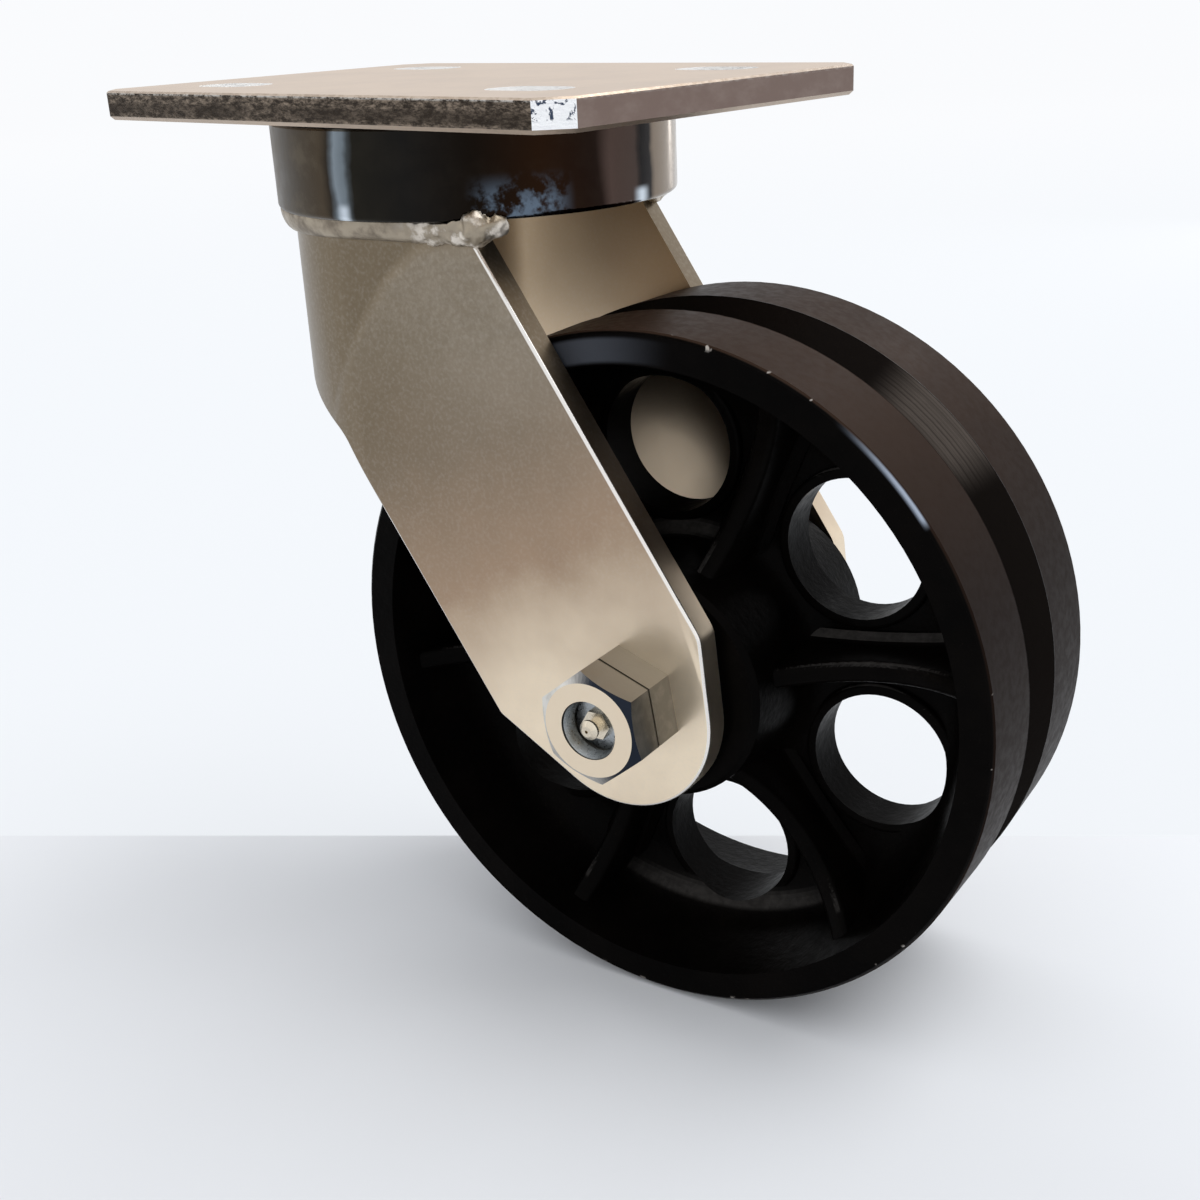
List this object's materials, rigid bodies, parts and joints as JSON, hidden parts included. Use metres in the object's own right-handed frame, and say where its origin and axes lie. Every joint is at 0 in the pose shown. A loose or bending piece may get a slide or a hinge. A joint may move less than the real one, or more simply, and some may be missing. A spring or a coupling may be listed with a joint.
{
  "type": "swivel caster",
  "caption": "Kingpinless swivel caster with a flanged top plate, two formed steel legs and a ribbed cast iron wheel with a V groove for angle track.",
  "frame": {"origin": "centre of the top plate's upper mounting face, on the swivel axis", "axes": "+Z out of the mounting face, against the load; +X along the plate's long side, the way the wheel trails at rest within the rest swivel angle; +Y across the plate, away from the axle nuts"},
  "size_m": [0.2025, 0.101, 0.1968],
  "materials": {
    "plate_zinc": "dull zinc plate over forged steel",
    "ring_zinc": "turned and zinc plated, bright",
    "leg_zinc": "zinc plate with a warm tint",
    "weld_zinc": "plated weld bead",
    "hardware_zinc": "zinc plated",
    "race_steel": "turned steel",
    "ball_steel": "polished bearing steel",
    "seal_rubber": "matt black rubber",
    "wheel_iron": "black paint over cast iron, tread turned bare"
  },
  "bodies": {
    "plate": {"top_plate": "plate_zinc", "lower_race": "race_steel", "race_weld": "weld_zinc", "upper_balls": "ball_steel", "lower_balls": "ball_steel"},
    "fork": {"swivel_ring": "ring_zinc", "dust_seal": "seal_rubber", "leg_near": "leg_zinc", "leg_far": "leg_zinc", "weld_near": "weld_zinc", "weld_far": "weld_zinc", "swivel_fitting": "hardware_zinc", "swivel_fitting_head": "hardware_zinc", "axle_bolt": "hardware_zinc", "axle_nut": "hardware_zinc", "jam_nut": "hardware_zinc", "axle_fitting": "hardware_zinc", "axle_fitting_head": "hardware_zinc", "washer_near": "race_steel", "washer_far": "race_steel", "spanner_bushing": "race_steel"},
    "wheel": {"wheel": "wheel_iron", "roller_cage": "race_steel", "bearing_rollers": "ball_steel"}
  },
  "joints": [
    {"name": "swivel", "type": "hinge", "parent": "plate", "child": "fork", "pos_m": [0, 0, -0.015], "axis": [0, 0, 1], "continuous": true},
    {"name": "wheel_spin", "type": "hinge", "parent": "fork", "child": "wheel", "pos_m": [0.05488, 0.0083, -0.12065], "axis": [-0.1495, 0.9888, 0], "continuous": true}
  ]
}
